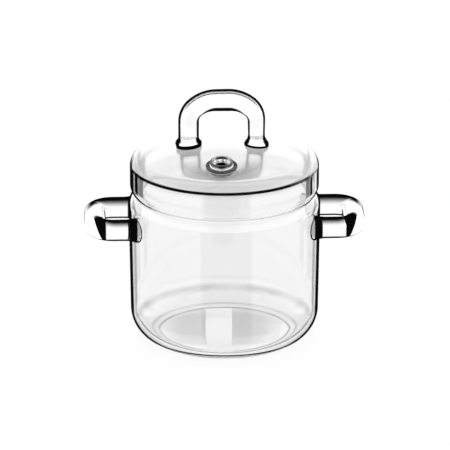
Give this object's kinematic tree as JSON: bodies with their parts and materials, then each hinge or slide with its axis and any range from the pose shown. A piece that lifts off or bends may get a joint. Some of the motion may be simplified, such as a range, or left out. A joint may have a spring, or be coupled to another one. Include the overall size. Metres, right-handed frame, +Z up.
{
  "type": "lidded glass cooking pot",
  "caption": "Clear glass cooking pot with round-bottomed body, glass loop handles at the sides and a lift-off domed glass lid with an arched handle and a steel steam vent.",
  "frame": {"origin": "centre of the flat underside, on the surface the pot stands on", "axes": "+Z up, X through the two side loops, -Y the side with the steam vent, which faces the camera in the picture"},
  "size_m": [0.22, 0.1504, 0.204],
  "materials": {
    "glass": "clear, smooth, fire-polished",
    "steel": "turned and polished",
    "silicone": "soft, translucent, matt"
  },
  "bodies": {
    "pot": {"pot_body": "glass", "left_handle": "glass", "right_handle": "glass"},
    "lid": {"lid_shell": "glass", "lid_handle": "glass", "vent_eyelet": "steel", "vent_washer": "steel", "vent_gasket_top": "silicone", "vent_gasket_bottom": "silicone"}
  },
  "joints": [
    {"name": "lid_lift", "type": "slide", "parent": "pot", "child": "lid", "axis": [0, 0, 1], "range_m": [0, 0.15]}
  ]
}
